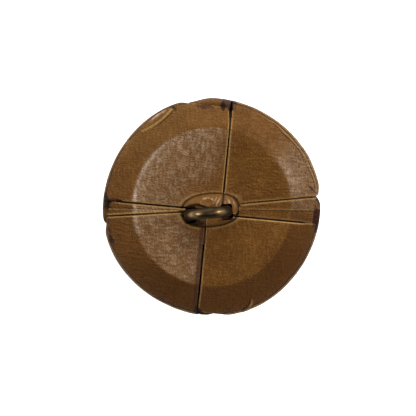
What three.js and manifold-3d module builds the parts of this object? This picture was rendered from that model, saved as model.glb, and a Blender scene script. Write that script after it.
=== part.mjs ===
// A large woven-leather shank button: four leather strips plaited two over two around a moulded core, their
// ends pressed flat on the back, with a brass wire loop standing out of the middle for the sewing thread.
//
// Millimetres, +Z up. The button lies on its domed front, which touches z = 0, with its back and loop up.
// The origin is under the middle of the rim. The loop stands in the XZ plane and rocks about a line along +X.
//
// Each strip covers half of the button. It starts on the back as an outer layer, goes round the rim, dips
// under its neighbour in the middle of the front, goes round the far rim and ends on the back as an inner
// layer. The four strips are one shape turned in quarter turns, apart from how their ends are cut.
import * as THREE from "three";
import { mergeVertices } from "three/addons/utils/BufferGeometryUtils.js";
import Module from "manifold-3d";

const wasm = await Module();
wasm.setup();

// ---------------------------------------------------------------- driving dimensions
const BUTTON_R = 19.05; // half of a 38.1 mm (60 line) button
const LEATHER_T = 0.8; // one strip
const LAYER_GAP = 0.2; // between a strip and what it lies on
const SEAM_GAP = 0.3; // between two strips side by side

// Front dome, flat in the middle where the button rests
const FLAT_R = 4.2;
const CAP_RISE = 4.2; // how far the dome rises before the edge turns up
const FRONT_ROUND = 4.0; // width of the front's rounded edge
const FRONT_DROP = 2.4; // height of the front's rounded edge

// Back: a dished middle inside a raised crest, and a bevel that falls to the rim
const CREST_R = 13.8;
const CREST_SOFTNESS = 0.3; // how widely the crest is rounded
const DISH_DEPTH = 0.8;
const BEVEL_SLOPE = 0.5;
const BACK_ROUND = 1.5; // width of the back's rounded edge
const BACK_DROP = 1.4; // height of the back's rounded edge

// Weave
const WEAVE_X = 0.24; // where the four strips meet
const WEAVE_Y = -0.92;
const WEAVE_TURN = -10.6; // degrees from the loop's line
const RIM_SHOW = 1.65; // how far inside the rim every strip's outer edge lies on the back
const FRONT_SHOW = 6.05; // the same where the edge crosses the middle of the front
const DIP_RUN = 0.8; // length over which a strip dives under its neighbour

// Wire loop
const LOOP_X = -0.7;
const LOOP_Y = -1.02;
const LOOP_W = 8.4; // outside width
const WIRE_D = 1.9;
const BAR_RISE = 0.175; // centre of the straight bar that the loop rocks on, above the backing disc
const LOOP_STAND = 6.775; // top of the loop above the dished middle
const CORNER_R = 1.35; // centreline radius between the bar and a leg
const BUTT_GAP = 0.15; // where the wire's two ends meet in the bar
const LOOP_CLEARANCE = 0.1;
const LOOP_TILT = 10; // degrees each way

// The raised leather around the loop
const HUMP_X = -0.28;
const HUMP_Y = -0.54;
const HUMP_HALF_LENGTH = 5.05;
const HUMP_HALF_WIDTH = 2.9;
const HUMP_ROOM = 0.775; // between the tab over the bar and the leather above it

// Inside
const FIT_GAP = 0.1; // between the inner pieces
const BACKING_T = 2.0; // backing disc under the dished middle
const PAD_R = 12.8;
const PAD_T = 1.2;
const TAB_SPAN = 6.4; // half the length of the tab over the bar, before it is cut back for thick leather
const TAB_ARCH = 2.3; // half of the length over which the tab is lifted off the disc

// ---------------------------------------------------------------- worked out from them
const COVER_T = 2 * (LEATHER_T + LAYER_GAP); // two layers of leather over the core
const INNER_DEPTH = LEATHER_T + LAYER_GAP; // depth of the inner layer's outer face
const RIM_Z = CAP_RISE + FRONT_DROP; // height of the widest line of the button
const CREST_Z = RIM_Z + BACK_DROP + BEVEL_SLOPE * (BUTTON_R - CREST_R);
const DISH_Z = CREST_Z - DISH_DEPTH; // the leather in the middle of the back
const STRIP_EDGE = BUTTON_R - RIM_SHOW; // from the middle of the button
const FRONT_EDGE = BUTTON_R - FRONT_SHOW;
const BACKING_TOP = DISH_Z - COVER_T;
const BACKING_BOTTOM = BACKING_TOP - BACKING_T;
const BACKING_R = (CREST_R * (BUTTON_R - COVER_T)) / BUTTON_R;
const WIRE_R = WIRE_D / 2;
const LEG_X = LOOP_W / 2 - WIRE_R; // centreline of a leg, from the middle of the loop
const BAR_Z = BACKING_TOP + BAR_RISE;
const LOOP_TOP = DISH_Z + LOOP_STAND;
const ARCH_Z = LOOP_TOP - LOOP_W / 2; // centre of the loop's round top
const TAB_W = 2 * (LEG_X - CORNER_R - FIT_GAP); // over the straight part of the bar
const TAB_TOP = BAR_Z + WIRE_R + LOOP_CLEARANCE + FIT_GAP + LEATHER_T; // where it crosses the bar
const TAB_REACH = TAB_SPAN - COVER_T / 2;
const HUMP_HEIGHT = TAB_TOP + HUMP_ROOM + LEATHER_T - DISH_Z;

const SIDES = 44; // facets of the turned pieces

const radians = THREE.MathUtils.degToRad;
const smooth = THREE.MathUtils.smoothstep;
const mix = THREE.MathUtils.lerp;

// ---------------------------------------------------------------- the button's outer surface
// 0 up to `start`, then rises to 1 at the rim along a quarter of an ellipse.
function roundedEdge(r, start) {
  const t = THREE.MathUtils.clamp((r - start) / (BUTTON_R - start), 0, 1);
  return 1 - Math.sqrt(1 - t * t);
}

// The dish and the bevel, joined by a rounded crest.
function backHeight(r) {
  const dish = CREST_Z - DISH_DEPTH * (1 - (r / CREST_R) ** 2);
  const bevel = CREST_Z - BEVEL_SLOPE * (r - CREST_R);
  const lower = Math.min(dish, bevel);
  const blend = CREST_SOFTNESS * Math.log1p(Math.exp(-Math.abs(dish - bevel) / CREST_SOFTNESS));
  return lower - blend - BACK_DROP * roundedEdge(r, BUTTON_R - BACK_ROUND);
}

function frontHeight(r) {
  const cap = Math.max(0, (r - FLAT_R) / (BUTTON_R - FLAT_R));
  return CAP_RISE * cap ** 2 + FRONT_DROP * roundedEdge(r, BUTTON_R - FRONT_ROUND);
}

// The lift of the leather around the loop: an ellipsoid of no lift at its edge.
function humpLift(x, y) {
  const e = Math.hypot((x - HUMP_X) / HUMP_HALF_LENGTH, (y - HUMP_Y) / HUMP_HALF_WIDTH);
  return e < 1 ? HUMP_HEIGHT * Math.sqrt(1 - e * e) : 0;
}

// Height of the surface `depth` under the outer one. r is the distance from the axis on that deeper surface.
function layerHeight(onBack, r, depth) {
  const share = r / (BUTTON_R - depth);
  const outerR = share * BUTTON_R;
  const down = depth * Math.sqrt(Math.max(0, 1 - share ** 10));
  return onBack ? backHeight(outerR) - down : frontHeight(outerR) + down;
}

// The point `depth` under the outer surface's point over (x, y). Layers at different depths never cross.
function coverPoint(x, y, onBack, depth) {
  const shrink = (BUTTON_R - depth) / BUTTON_R;
  const px = x * shrink;
  const py = y * shrink;
  const lift = onBack ? humpLift(px, py) : 0;
  return [px, py, layerHeight(onBack, Math.hypot(px, py), depth) + lift];
}

// ---------------------------------------------------------------- solids
const geometryOf = (points, triangles) => {
  const g = new THREE.BufferGeometry();
  g.setAttribute("position", new THREE.Float32BufferAttribute(points.flat(), 3));
  g.setIndex(triangles.flat());
  return g;
};

function solidOf(geometry) {
  const bare = geometry.clone();
  bare.deleteAttribute("normal");
  bare.deleteAttribute("uv");
  const merged = mergeVertices(bare, 1e-4);
  return new wasm.Manifold(
    new wasm.Mesh({
      numProp: 3,
      vertProperties: merged.attributes.position.array,
      triVerts: new Uint32Array(merged.index.array),
    }),
  );
}

function meshOf(solid) {
  const { numProp, vertProperties, triVerts } = solid.getMesh();
  const points = [];
  for (let i = 0; i < vertProperties.length; i += numProp) {
    points.push([...vertProperties.slice(i, i + 3)]);
  }
  return geometryOf(points, [[...triVerts]]);
}

function place(geometry, x, y, z) {
  return geometry.translate(x, y, z);
}

// A solid turned about the button's axis, from [r, z] points that start and end on the axis.
function turned(profile, sides) {
  const points = profile.map(([r, z]) => new THREE.Vector2(r, z));
  return new THREE.LatheGeometry(points, sides).rotateX(Math.PI / 2);
}

// Steps from a to b, both included.
const steps = (a, b, n) => Array.from({ length: n + 1 }, (_, i) => mix(a, b, i / n));

// A round wire along a list of points.
function wire(points, diameter, sides, segments) {
  const section = new THREE.Shape().absarc(0, 0, diameter / 2, 0, 2 * Math.PI);
  return new THREE.ExtrudeGeometry(section, {
    extrudePath: new THREE.CatmullRomCurve3(points, false, "centripetal"),
    steps: segments,
    curveSegments: sides,
  });
}

// ---------------------------------------------------------------- leather strips
// A strip's own axes are `a`, along it, and `c`, across it and out from the weave's middle. It runs from the
// outer end at a = outerEnd(c) towards -a, round the rim, back over the front and round the other rim.
const SPECS = [
  { name: "strip_upper", seam: 0.27, outerEnd: () => 1.29, innerEnd: 6.1, innerSeam: -0.27 },
  { name: "strip_right", seam: 1.29, outerEnd: (c) => -0.52 - 0.177 * c, innerEnd: 6.3, innerSeam: 0.3 },
  { name: "strip_lower", seam: 0.27, outerEnd: () => 1.29, innerEnd: 6.1, innerSeam: -0.27 },
  { name: "strip_left", seam: 1.29, outerEnd: (c) => 0.34 - 0.15 * c, innerEnd: 6.3, innerSeam: 0.3 },
];
const CENTRE_REACH = 5.4; // stations inside this are set by distance, and outside it by angle
const LANES = [0, 0.06, 0.12, 0.19, 0.27, 0.4, 0.55, 0.68, 0.76, 0.83, 0.9, 1]; // closer near loop and crest

// How deep the strip lies: outer for a < 0 and inner past the dip, out again beyond its neighbour's edge.
function stripDepth(a, fromMiddle, onBack, isInnerEnd) {
  if (onBack && !isInnerEnd) return 0;
  const dive = INNER_DEPTH * smooth(a, -DIP_RUN - SEAM_GAP / 2, -SEAM_GAP / 2);
  const out = smooth(fromMiddle, STRIP_EDGE + SEAM_GAP, BUTTON_R);
  return dive * (1 - out);
}

function stripGeometry(spec, quarter) {
  const turn = radians(WEAVE_TURN - 90 * quarter);
  const along = [Math.cos(turn), Math.sin(turn)];
  const across = [-along[1], along[0]];
  const weaveA = WEAVE_X * along[0] + WEAVE_Y * along[1];
  const weaveC = WEAVE_X * across[0] + WEAVE_Y * across[1];
  const half = SEAM_GAP / 2;

  // Inner and outer edge, across the strip, at section angle psi: 90 and 450 are the middle of the back,
  // 180 and 360 are the rims, and 270 is the middle of the front.
  const seamAt = (psi, a) => {
    const nearRim = smooth(Math.abs(Math.cos(radians(psi))), 0.72, 0.88);
    if (psi <= 180) return mix(spec.seam + half, half, smooth(psi, 150, 180));
    const dipped = mix(half, DIP_RUN + SEAM_GAP, smooth(a, -DIP_RUN - half, -half));
    if (psi <= 270) return dipped;
    if (psi <= 360) return mix(dipped, Math.max(half, spec.innerSeam + half), nearRim);
    return mix(Math.max(half, spec.innerSeam + half), spec.innerSeam + half, smooth(psi, 360, 380));
  };
  const edgeAt = (psi) => {
    const onFront = psi > 180 && psi < 360;
    const share = onFront ? Math.cos(radians(psi)) ** 2 : 1;
    return mix(FRONT_EDGE, STRIP_EDGE, share) - weaveC;
  };

  // Each station gives the section angle for a lane that lies c across.
  const halfChord = (c) => Math.sqrt(BUTTON_R ** 2 - (c + weaveC) ** 2);
  const angleOf = (a, c) => radians(90) + Math.asin((-a - weaveA) / halfChord(c));
  const frontAngle = (a, c) => radians(270) + Math.asin((a + weaveA) / halfChord(c));
  const innerAngle = (a, c) => radians(450) - Math.asin((a + weaveA) / halfChord(c));
  const rim = Math.PI;
  const frontStations = [-3, -DIP_RUN - half, -0.7 * DIP_RUN, -0.4 * DIP_RUN, -half, 1.5, 3.4];
  const stations = [
    ...steps(0, 1, 8).map((t) => (c) => angleOf(mix(spec.outerEnd(c) - half, -CENTRE_REACH, t), c)),
    ...steps(0, 1, 12).slice(1).map((t) => (c) => mix(angleOf(-CENTRE_REACH, c), rim, t)),
    ...steps(0, 1, 8).slice(1).map((t) => (c) => mix(rim, frontAngle(-CENTRE_REACH, c), t)),
    ...frontStations.map((a) => (c) => frontAngle(a, c)),
    ...steps(0, 1, 8).map((t) => (c) => mix(frontAngle(CENTRE_REACH, c), 2 * rim, t)),
    ...steps(0, 1, 12).slice(1).map((t) => (c) => mix(2 * rim, innerAngle(spec.innerEnd, c), t)),
  ];

  const skin = (i, lane, under) => {
    // The edges depend on the angle and the angle on the lane, so a few rounds settle both.
    let psi = stations[i](spec.seam);
    let c = spec.seam;
    let a = 0;
    for (let round = 0; round < 6; round++) {
      const degrees = THREE.MathUtils.radToDeg(psi);
      a = halfChord(c) * Math.cos(psi) - weaveA;
      c = mix(seamAt(degrees, a), edgeAt(degrees), lane);
      psi = stations[i](c);
    }
    a = halfChord(c) * Math.cos(psi) - weaveA;
    const onBack = psi < rim + 1e-6 || psi > 2 * rim - 1e-6;
    const isInnerEnd = psi > 1.5 * Math.PI;
    const depth = stripDepth(isInnerEnd ? Math.max(a, 0) : a, a + weaveA, onBack, isInnerEnd);
    const x = WEAVE_X + a * along[0] + c * across[0];
    const y = WEAVE_Y + a * along[1] + c * across[1];
    return coverPoint(x, y, onBack, depth + (under ? LEATHER_T : 0));
  };

  const points = [];
  const rows = stations.length;
  const columns = LANES.length;
  for (const under of [false, true]) {
    for (let i = 0; i < rows; i++) {
      for (const lane of LANES) points.push(skin(i, lane, under));
    }
  }
  const at = (i, j, under) => (under ? rows * columns : 0) + i * columns + j;
  const triangles = [];
  const quad = (p, q, r, s) => triangles.push([p, q, r], [p, r, s]);
  for (let i = 0; i < rows - 1; i++) {
    for (let j = 0; j < columns - 1; j++) {
      quad(at(i, j, false), at(i, j + 1, false), at(i + 1, j + 1, false), at(i + 1, j, false));
      quad(at(i, j, true), at(i + 1, j, true), at(i + 1, j + 1, true), at(i, j + 1, true));
    }
    quad(at(i, 0, false), at(i + 1, 0, false), at(i + 1, 0, true), at(i, 0, true));
    const last = columns - 1;
    quad(at(i, last, false), at(i, last, true), at(i + 1, last, true), at(i + 1, last, false));
  }
  for (let j = 0; j < columns - 1; j++) {
    quad(at(0, j, false), at(0, j, true), at(0, j + 1, true), at(0, j + 1, false));
    const end = rows - 1;
    quad(at(end, j, false), at(end, j + 1, false), at(end, j + 1, true), at(end, j, true));
  }
  return geometryOf(points, triangles);
}

// ---------------------------------------------------------------- wire loop
function loopGeometry() {
  const arc = (cx, cz, r, from, to, n) =>
    steps(radians(from), radians(to), n).map(
      (t) => new THREE.Vector3(cx + r * Math.cos(t), 0, cz + r * Math.sin(t)),
    );
  const inset = LEG_X - CORNER_R;
  const low = BAR_Z + CORNER_R;
  const points = [
    new THREE.Vector3(BUTT_GAP / 2, 0, BAR_Z),
    new THREE.Vector3(inset / 2, 0, BAR_Z),
    ...arc(inset, low, CORNER_R, -90, 0, 4),
    ...arc(0, ARCH_Z, LEG_X, 0, 180, 12),
    ...arc(-inset, low, CORNER_R, 180, 270, 4),
    new THREE.Vector3(-inset / 2, 0, BAR_Z),
    new THREE.Vector3(-BUTT_GAP / 2, 0, BAR_Z),
  ];
  return place(wire(points, WIRE_D, 6, 48), LOOP_X, LOOP_Y, 0);
}

// The room that one leg needs in the leather as the loop rocks: a wedge that widens upwards from the bar.
function legRoom(side) {
  const tilt = radians(LOOP_TILT);
  const reach = (z) => (WIRE_R + LOOP_CLEARANCE) / Math.cos(tilt) + (z - BAR_Z) * Math.tan(tilt);
  const low = BAR_Z;
  const high = LOOP_TOP;
  const section = new THREE.Shape([
    new THREE.Vector2(-reach(low), low),
    new THREE.Vector2(reach(low), low),
    new THREE.Vector2(reach(high), high),
    new THREE.Vector2(-reach(high), high),
  ]);
  const width = WIRE_D + 2 * LOOP_CLEARANCE;
  const block = new THREE.ExtrudeGeometry(section, { depth: width, bevelEnabled: false });
  // The section is drawn in (y, z) and pushed along x.
  block.applyMatrix4(new THREE.Matrix4().set(0, 0, 1, 0, 1, 0, 0, 0, 0, 1, 0, 0, 0, 0, 0, 1));
  return solidOf(place(block, LOOP_X + side * LEG_X - width / 2, LOOP_Y, 0));
}

// A round bar along X at the height of the loop's bar, with clearance.
function barRoom() {
  const r = WIRE_R + LOOP_CLEARANCE;
  const bar = new THREE.CylinderGeometry(r, r, LOOP_W + 2 * LOOP_CLEARANCE, 24).rotateZ(Math.PI / 2);
  return solidOf(place(bar, LOOP_X, LOOP_Y, BAR_Z));
}

// ---------------------------------------------------------------- tab over the bar
// The tab's under face: flat on the dished disc, lifted over the bar in a smooth arch.
function tabUnder(y) {
  const lift = TAB_TOP - LEATHER_T - tabSeat(0);
  return tabSeat(y) + lift * Math.sqrt(Math.max(0, 1 - (y / TAB_ARCH) ** 2)) ** 1.2;
}

function tabSeat(y) {
  return layerHeight(true, Math.hypot(LOOP_X, LOOP_Y + y) + TAB_W / 2, COVER_T) + FIT_GAP;
}

function tabGeometry() {
  const stops = steps(-TAB_REACH, TAB_REACH, 28);
  const under = stops.map((y) => new THREE.Vector2(y, tabUnder(y)));
  const over = stops.map((y) => new THREE.Vector2(y, tabUnder(y) + LEATHER_T)).reverse();
  const block = new THREE.ExtrudeGeometry(new THREE.Shape([...under, ...over]), {
    depth: TAB_W,
    bevelEnabled: false,
  });
  block.applyMatrix4(new THREE.Matrix4().set(0, 0, 1, 0, 1, 0, 0, 0, 0, 1, 0, 0, 0, 0, 0, 1));
  return place(block, LOOP_X - TAB_W / 2, LOOP_Y, 0);
}

// ---------------------------------------------------------------- core, backing disc and pad
function backingGeometry() {
  const top = steps(0, BACKING_R, 6).map((r) => [r, layerHeight(true, r, COVER_T)]);
  return turned([[0, BACKING_BOTTOM], [BACKING_R, BACKING_BOTTOM], ...top.reverse()], SIDES);
}

function padGeometry() {
  const outer = steps(0, PAD_R, 5).map((r) => [r, layerHeight(false, r, COVER_T)]);
  const inner = steps(PAD_R, 0, 5).map((r) => [r, layerHeight(false, r, COVER_T) + PAD_T]);
  return turned([...outer, ...inner], SIDES);
}

function coreGeometry() {
  const coreR = BUTTON_R - COVER_T;
  const seatR = BACKING_R + FIT_GAP;
  const padR = PAD_R + FIT_GAP;
  const depths = (from, to, n, onBack) =>
    steps(from, to, n).map((t) => [coreR * Math.sin(t), layerHeight(onBack, coreR * Math.sin(t), COVER_T)]);
  const rimTurn = Math.PI / 2;
  const front = steps(0, padR, 5).map((r) => [r, layerHeight(false, r, COVER_T) + PAD_T + FIT_GAP]);
  return turned(
    [
      ...front,
      ...depths(Math.asin(padR / coreR), rimTurn, 6, false),
      ...depths(rimTurn, Math.asin(seatR / coreR), 6, true).slice(1),
      [seatR, BACKING_BOTTOM - FIT_GAP],
      [0, BACKING_BOTTOM - FIT_GAP],
    ],
    SIDES,
  );
}

// ---------------------------------------------------------------- materials and assembly
function finish(color, roughness, metalness = 0) {
  return new THREE.MeshStandardMaterial({ color, roughness, metalness });
}

const leather = finish(0x7a5228, 0.5);
const rawLeather = finish(0x6b4636, 0.8);
const brass = finish(0x8a6a34, 0.35, 1);
const fibre = finish(0x8c7355, 0.9);
const board = finish(0x7d5c3c, 0.85);
const felt = finish(0xb9b2a4, 1);

const button = new THREE.Group();
const add = (name, geometry, material) => {
  const mesh = new THREE.Mesh(geometry, material);
  mesh.name = name;
  button.add(mesh);
};

const legRooms = legRoom(-1).add(legRoom(1));
SPECS.forEach((spec, quarter) => {
  const strip = solidOf(stripGeometry(spec, quarter)).subtract(legRooms);
  add(spec.name, meshOf(strip), leather);
});

add("backing_disc", meshOf(solidOf(backingGeometry()).subtract(barRoom())), board);
add("loop_tab", tabGeometry(), rawLeather);
add("core_dome", coreGeometry(), fibre);
add("front_pad", padGeometry(), felt);
add("shank_loop", loopGeometry(), brass);

export default button;
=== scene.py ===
# %% [markdown]
# # A woven leather button, seen from its back
# The button is a moulded core wrapped in four leather strips that pass over and under each other. On the
# back the ends of the strips are pressed flat by a die, and a brass wire loop stands out of the middle.
# The first step loads the fixed frame that every piece below is fitted to. A model could also start from an
# empty scene, but then nothing would show that a piece has drifted out of its place.

# %% Load the frame
import math

import bmesh
import bpy
import numpy as np
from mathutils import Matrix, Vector, noise


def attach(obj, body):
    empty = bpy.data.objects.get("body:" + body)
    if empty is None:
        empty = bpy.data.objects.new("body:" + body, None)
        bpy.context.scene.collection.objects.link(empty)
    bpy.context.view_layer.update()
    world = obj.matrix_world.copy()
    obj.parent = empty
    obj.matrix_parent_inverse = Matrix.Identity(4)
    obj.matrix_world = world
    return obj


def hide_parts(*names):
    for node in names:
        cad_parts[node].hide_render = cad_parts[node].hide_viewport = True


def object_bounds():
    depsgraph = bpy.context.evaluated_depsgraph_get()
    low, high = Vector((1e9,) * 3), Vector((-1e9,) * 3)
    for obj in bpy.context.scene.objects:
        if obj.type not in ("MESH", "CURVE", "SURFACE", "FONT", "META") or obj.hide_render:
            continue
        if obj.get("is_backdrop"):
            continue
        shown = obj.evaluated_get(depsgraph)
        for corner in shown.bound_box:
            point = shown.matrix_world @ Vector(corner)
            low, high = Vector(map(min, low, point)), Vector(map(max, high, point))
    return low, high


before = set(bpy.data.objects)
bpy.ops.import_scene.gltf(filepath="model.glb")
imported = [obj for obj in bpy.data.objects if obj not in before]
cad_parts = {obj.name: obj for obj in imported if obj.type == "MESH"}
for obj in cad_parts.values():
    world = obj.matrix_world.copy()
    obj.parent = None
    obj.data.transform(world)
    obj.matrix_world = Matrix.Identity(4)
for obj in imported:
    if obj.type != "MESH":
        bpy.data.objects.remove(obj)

cad_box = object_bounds()

# %% [markdown]
# ## The measures of the button
# Everything is worked out in millimetres, because a button is measured that way, and turned into metres only
# when a mesh is made. Numbers could be typed straight into each mesh, but named measures keep the strips, the
# loop and the inner pieces fitting each other when one of them changes.

# %% The button's measures
MM = 0.001
BUTTON_R = 19.05
LEATHER_T = 0.8
LAYER_GAP = 0.2
COVER_T = 2 * (LEATHER_T + LAYER_GAP)
INNER_DEPTH = LEATHER_T + LAYER_GAP

FLAT_R = 4.2
CAP_RISE = 4.2
FRONT_ROUND = 4.0
FRONT_DROP = 2.4
RIM_Z = CAP_RISE + FRONT_DROP

CREST_R = 13.8
CREST_SOFTNESS = 0.16
DISH_DEPTH = 0.8
BEVEL_SLOPE = 0.5
BACK_ROUND = 1.5
BACK_DROP = 1.4
CREST_Z = RIM_Z + BACK_DROP + BEVEL_SLOPE * (BUTTON_R - CREST_R)

WEAVE_X, WEAVE_Y = 0.24, -0.92
WEAVE_TURN = math.radians(-10.6)
FRONT_EDGE = 13.0
DIP_RUN = 0.8
SEAM_GAP = 0.3
HALF_GAP = SEAM_GAP / 2

LOOP_X, LOOP_Y = -0.7, -1.02
LOOP_W = 8.4
WIRE_D = 1.9
BAR_Z = 8.0
LOOP_TOP = 16.6
CORNER_R = 1.35

HUMP_X, HUMP_Y = -0.28, -0.54
HUMP_A, HUMP_B = 5.05, 2.9
HUMP_HEIGHT = 1.7
HUMP_SQUARENESS = 2.3
HUMP_SHOULDER, HUMP_STEEPNESS = 2.2, 0.55

LOBE, LOBE_TURN = 0.008, math.radians(12)

print(f"button {2 * BUTTON_R:.1f} mm across, leather {LEATHER_T} mm thick, loop {LOOP_W} mm wide")

# %% [markdown]
# ## The surface that the leather follows
# The outside of the button is a smooth surface of turning, known by its height over each distance from the
# axis, with a raised patch of leather around the loop. A layer of leather under it is the same surface pulled
# inwards by a depth. A turned mesh could be used, but functions let every strip be laid at any depth and with
# as many points as it needs.

# %% Height functions
RIM_PINCH = 10


def clamp01(t):
    return np.clip(t, 0.0, 1.0)


def smooth(x, low, high):
    """0 at low, 1 at high and eased in between; high may be the smaller one."""
    t = clamp01((x - low) / (high - low))
    return t * t * (3 - 2 * t)


def mix(a, b, t):
    return a + (b - a) * t


def rounded_edge(r, start):
    t = clamp01((r - start) / (BUTTON_R - start))
    return 1 - np.sqrt(1 - t * t)


def back_height(r):
    """A dished middle and a falling bevel, joined by a rounded crest."""
    dish = CREST_Z - DISH_DEPTH * (1 - (r / CREST_R) ** 2)
    bevel = CREST_Z - BEVEL_SLOPE * (r - CREST_R)
    blend = CREST_SOFTNESS * np.log1p(np.exp(-np.abs(dish - bevel) / CREST_SOFTNESS))
    return np.minimum(dish, bevel) - blend - BACK_DROP * rounded_edge(r, BUTTON_R - BACK_ROUND)


def front_height(r):
    cap = np.maximum(0, (r - FLAT_R) / (BUTTON_R - FLAT_R))
    return CAP_RISE * cap**2 + FRONT_DROP * rounded_edge(r, BUTTON_R - FRONT_ROUND)


def hump_reach(x, y):
    """1 on the outline of the raised leather around the loop, less inside it."""
    long_way = np.abs((x - HUMP_X) / HUMP_A) ** HUMP_SQUARENESS
    short_way = np.abs((y - HUMP_Y) / HUMP_B) ** HUMP_SQUARENESS
    return (long_way + short_way) ** (1 / HUMP_SQUARENESS)


def hump_lift(x, y):
    return HUMP_HEIGHT * clamp01(1 - hump_reach(x, y) ** HUMP_SHOULDER) ** HUMP_STEEPNESS


def layer_height(on_back, r, depth):
    """Height of the layer `depth` mm under the outside; at the rim all layers have the same height."""
    share = r / (BUTTON_R - depth)
    outer_r = share * BUTTON_R
    down = depth * np.sqrt(np.maximum(0, 1 - np.minimum(share, 1) ** RIM_PINCH))
    return np.where(on_back, back_height(outer_r) - down, front_height(outer_r) + down)


def cover_point(x, y, on_back, depth):
    """The point `depth` mm under the outer surface's point over (x, y)."""
    shrink = (BUTTON_R - depth) / BUTTON_R
    px, py = x * shrink, y * shrink
    lift = np.where(on_back, hump_lift(px, py), 0.0)
    z = layer_height(on_back, np.hypot(px, py), depth) + lift
    share = np.hypot(px, py) / BUTTON_R
    bulge = 1 + LOBE * share**4 * np.cos(4 * (np.arctan2(py, px) - LOBE_TURN))
    return px * bulge, py * bulge, z


print(f"crest at z = {CREST_Z:.2f} mm, rim at z = {RIM_Z:.2f} mm")

# %% [markdown]
# ## Making meshes and attributes
# Every piece is made from lists of points and faces. Blender's own primitives and modifiers could make the
# plain ones, but lists place each point where the measures say. Numbers that a finish needs later, such as
# how worn an edge is, are kept on the points as attributes, so a material can read them without an image.

# %% Mesh helpers
TURNED_SIDES = 160
ON_AXIS = 1e-6


def new_piece(name, points_mm, faces, attributes=None):
    mesh = bpy.data.meshes.new(name)
    mesh.from_pydata((np.asarray(points_mm) * MM).tolist(), [], faces)
    for key, values in (attributes or {}).items():
        values = np.asarray(values, np.float32)
        if values.ndim == 2:
            layer = mesh.attributes.new(key, "FLOAT_VECTOR", "POINT")
            layer.data.foreach_set("vector", values.ravel())
        else:
            layer = mesh.attributes.new(key, "FLOAT", "POINT")
            layer.data.foreach_set("value", values)
    mesh.shade_smooth()
    mesh.validate()
    piece = bpy.data.objects.new(name, mesh)
    bpy.context.scene.collection.objects.link(piece)
    return piece


def turned_piece(name, profile, sides=TURNED_SIDES):
    """A solid of turning from (r, z) points that start and end on the axis."""
    points, faces, rings = [], [], []
    for r, z in profile:
        if r < ON_AXIS:
            rings.append([len(points)])
            points.append((0, 0, z))
            continue
        rings.append(list(range(len(points), len(points) + sides)))
        for k in range(sides):
            t = 2 * math.pi * k / sides
            points.append((r * math.cos(t), r * math.sin(t), z))
    for low, high in zip(rings, rings[1:]):
        for k in range(sides):
            k2 = (k + 1) % sides
            if len(low) == 1:
                faces.append((low[0], high[k2], high[k]))
            elif len(high) == 1:
                faces.append((low[k], low[k2], high[0]))
            else:
                faces.append((low[k], low[k2], high[k2], high[k]))
    return new_piece(name, points, faces)


def tube_faces(rings, sides):
    """Faces of a tube made of rings of points, with a flat cap on each end."""
    faces = []
    for i in range(rings - 1):
        for k in range(sides):
            k2 = (k + 1) % sides
            faces.append((i * sides + k, i * sides + k2, (i + 1) * sides + k2, (i + 1) * sides + k))
    faces.append(tuple(range(sides))[::-1])
    faces.append(tuple((rings - 1) * sides + k for k in range(sides)))
    return faces


def face_outwards(piece):
    """Turn the faces of a closed piece so that all of them look outwards."""
    work = bmesh.new()
    work.from_mesh(piece.data)
    bmesh.ops.recalc_face_normals(work, faces=work.faces)
    work.to_mesh(piece.data)
    work.free()


def soft_noise(x, y, scale, seed):
    """Smooth noise in -1..1 over points in mm."""
    pairs = zip(np.ravel(x), np.ravel(y))
    flat = [noise.noise(Vector((a * scale, b * scale, seed))) for a, b in pairs]
    return np.reshape(flat, np.shape(x))


print("turned pieces have", TURNED_SIDES, "sides")

# %% [markdown]
# ## The four strips and their seams
# All four strips are one shape turned in quarter turns. Each starts on the back as a visible panel, goes over
# the rim, crosses the front, dives under its neighbour, and ends on the back underneath another panel. Four
# outlines could be drawn one by one, but one shape with a few numbers of its own keeps them a real weave.
# Only the cuts at the ends differ: two panels stop short and leave narrow wedges of the layer below.

# %% Strip measures
STRIPS = [
    {"name": "strip_upper", "quarter": 0, "seam": 0.27, "inner_end": 4.45, "inner_seam": -0.42, "far": 17.8},
    {"name": "strip_right", "quarter": 1, "seam": 1.47, "inner_end": 6.3, "inner_seam": -1.15, "far": 18.5},
    {"name": "strip_lower", "quarter": 2, "seam": 0.42, "inner_end": 5.1, "inner_seam": -0.27, "far": 18.7},
    {"name": "strip_left", "quarter": 3, "seam": 1.24, "inner_end": 6.3, "inner_seam": -1.36, "far": 18.2},
]
CENTRE_REACH = 5.4
RIM_CLOSING = (0.18, 0.06)
RIM_TUCK = 0.3
HUMP_CLOSING = 0.13
HUMP_SEAM_ENDS = {1: (-3.9, -3.1), 3: (-3.2, -2.4)}


def end_line(quarter, c):
    """Where a strip's outer end is cut, along the strip, for a point c across it."""
    if quarter == 0:
        line = 1.45 + 0.05 * smooth(c, 4, 14) - 0.3 * smooth(c, 15.5, 18.5)
        return line + HUMP_CLOSING * smooth(c, 3.9, 3.1)
    if quarter == 2:
        return 1.2 + 0.12 * smooth(c, 13.5, 17.5) + HUMP_CLOSING * smooth(c, 3.2, 2.4)
    if quarter == 1:
        return mix(-1.0 - 0.187 * c, 0.2, smooth(c, 4.7, 3.9))
    return mix(0.34 - 0.15 * c, 0.1, smooth(c, 5.1, 4.4))


def weave_axes(quarter):
    """Directions along and across a strip."""
    turn = WEAVE_TURN - math.pi / 2 * quarter
    along = (math.cos(turn), math.sin(turn))
    return along, (-along[1], along[0])


for spec in STRIPS:
    cut = float(end_line(spec["quarter"], CREST_R))
    print(spec["name"], f"is cut {cut:.2f} mm from the weave's middle at the crest")

# %% [markdown]
# ## Where a wedge shows
# Between two panels the under layer swells up almost level with them. Its border along the panel's cut end is
# a narrow bead of stretched leather, and a fine crease runs along its middle. A bump in the material would be
# quicker, but it vanishes when the button is seen from the side, so both are real relief.

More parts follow.
